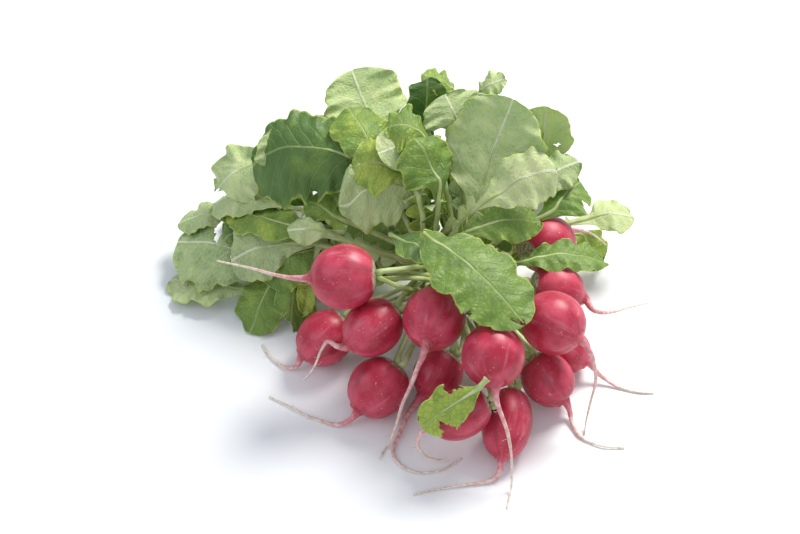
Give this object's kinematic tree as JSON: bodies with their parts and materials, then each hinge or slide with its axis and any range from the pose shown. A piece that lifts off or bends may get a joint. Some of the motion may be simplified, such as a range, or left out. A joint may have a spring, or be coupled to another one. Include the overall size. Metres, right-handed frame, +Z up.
{
  "type": "bunch of radishes",
  "caption": "Bunch of red radishes with their taproots and leaves, tied at the stalks and laid on a flat surface.",
  "frame": {"origin": "on the surface that the bunch lies on, under the middle of its outline", "axes": "+X to the right along the bunch, +Y from the taproots towards the leaves, +Z up"},
  "size_m": [0.2281, 0.2295, 0.0961],
  "materials": {
    "radish_skin": "smooth waxy red skin with fine creases, paler towards the taproot",
    "leaf_upper_side": "slightly rough green leaf with sunken veins",
    "leaf_underside": "pale matt green underside with raised veins",
    "rubber_band": "matt natural rubber"
  },
  "bodies": {
    "root": {"leaf_01": "leaf_upper_side", "leaf_02": "leaf_upper_side", "leaf_03": "leaf_upper_side", "leaf_04": "leaf_upper_side", "leaf_05": "leaf_underside", "leaf_06": "leaf_upper_side", "leaf_07": "leaf_upper_side", "leaf_08": "leaf_upper_side", "leaf_09": "leaf_upper_side", "leaf_10": "leaf_underside", "leaf_11": "leaf_underside", "leaf_12": "leaf_upper_side", "leaf_13": "leaf_upper_side", "leaf_14": "leaf_underside", "leaf_15": "leaf_upper_side", "leaf_16": "leaf_underside", "leaf_17": "leaf_underside", "leaf_18": "leaf_underside", "leaf_19": "leaf_underside", "leaf_20": "leaf_upper_side", "leaf_21": "leaf_underside", "leaf_22": "leaf_upper_side", "leaf_23": "leaf_upper_side", "leaf_24": "leaf_underside", "leaf_25": "leaf_underside", "leaf_26": "leaf_upper_side", "leaf_27": "leaf_upper_side", "leaf_28": "leaf_upper_side", "leaf_29": "leaf_underside", "leaf_30": "leaf_underside", "leaf_31": "leaf_underside", "leaf_32": "leaf_upper_side", "leaf_33": "leaf_upper_side", "leaf_34": "leaf_underside", "leaf_35": "leaf_underside", "leaf_36": "leaf_upper_side", "leaf_37": "leaf_underside", "leaf_38": "leaf_upper_side", "leaf_39": "leaf_underside", "leaf_40": "leaf_upper_side", "leaf_41": "leaf_upper_side", "leaf_42": "leaf_underside", "leaf_43": "leaf_upper_side", "radish_01": "radish_skin", "radish_02": "radish_skin", "radish_03": "radish_skin", "radish_04": "radish_skin", "radish_05": "radish_skin", "radish_06": "radish_skin", "radish_07": "radish_skin", "radish_08": "radish_skin", "radish_09": "radish_skin", "radish_10": "radish_skin", "radish_11": "radish_skin", "radish_12": "radish_skin", "radish_13": "radish_skin", "radish_14": "radish_skin", "rubber_band": "rubber_band", "torn_leaf": "leaf_underside", "broken_stalk": "leaf_underside"}
  },
  "joints": []
}
